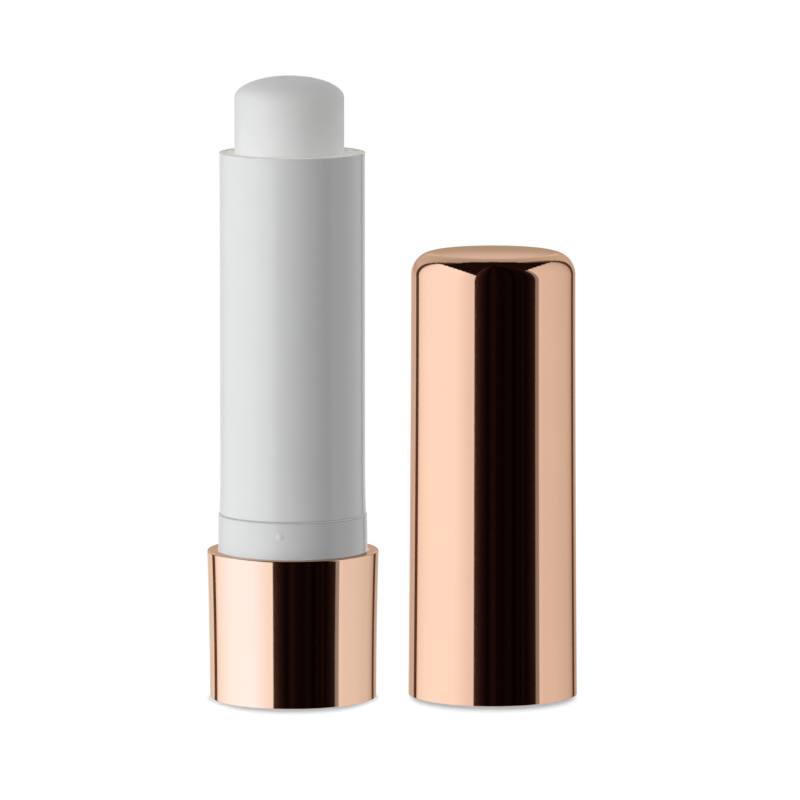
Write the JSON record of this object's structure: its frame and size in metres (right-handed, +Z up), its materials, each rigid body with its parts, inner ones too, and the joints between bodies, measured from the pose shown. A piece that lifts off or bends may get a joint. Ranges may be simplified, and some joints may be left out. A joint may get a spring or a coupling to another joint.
{
  "type": "lip balm stick",
  "caption": "Twist-up lip balm stick with a metallised base, white barrel and domed balm, and its pull-off metallised cap standing beside it.",
  "frame": {"origin": "centre of the flat underside of the stick's base, on the table and on the stick's twist axis", "axes": "+Z up along the stick's axis, from the base to the balm; +X from the stick towards the cap that stands beside it; -Y is the side that the picture shows"},
  "size_m": [0.0429, 0.0217, 0.0721],
  "materials": {
    "rose_gold_base": "rose gold metallised plastic, mirror gloss",
    "rose_gold_cap": "rose gold metallised plastic, mirror gloss, plain plastic inside",
    "white_collar": "white moulded plastic, semi-gloss",
    "white_sleeve": "white moulded plastic, semi-gloss",
    "white_spiral": "white moulded plastic, satin",
    "white_barrel": "white moulded plastic, semi-gloss",
    "white_cup": "white moulded plastic, satin",
    "balm_wax": "soft white wax, slightly translucent"
  },
  "bodies": {
    "base": {"outer_base": "rose_gold_base", "inner_base": "white_collar", "slotted_sleeve": "white_sleeve"},
    "barrel": {"barrel": "white_barrel", "spiral": "white_spiral"},
    "carriage": {"cup": "white_cup", "balm": "balm_wax"},
    "cap": {"cap": "rose_gold_cap"}
  },
  "joints": [
    {"name": "barrel_twist", "type": "hinge", "parent": "base", "child": "barrel", "pos_m": [0, 0, 0.02154], "axis": [0, 0, -1], "range_deg": [-237.82, 388.57]},
    {"name": "cup_lift", "type": "slide", "parent": "base", "child": "carriage", "axis": [0, 0, 1], "range_m": [-0.01058, 0.01728]},
    {"name": "cap_lift", "type": "slide", "parent": "base", "child": "cap", "axis": [0, 0, 1], "range_m": [0, 0.085]}
  ],
  "couplings": [
    {"joint": "cup_lift", "follows": "barrel_twist", "m_per_rad": 0.0025465}
  ]
}
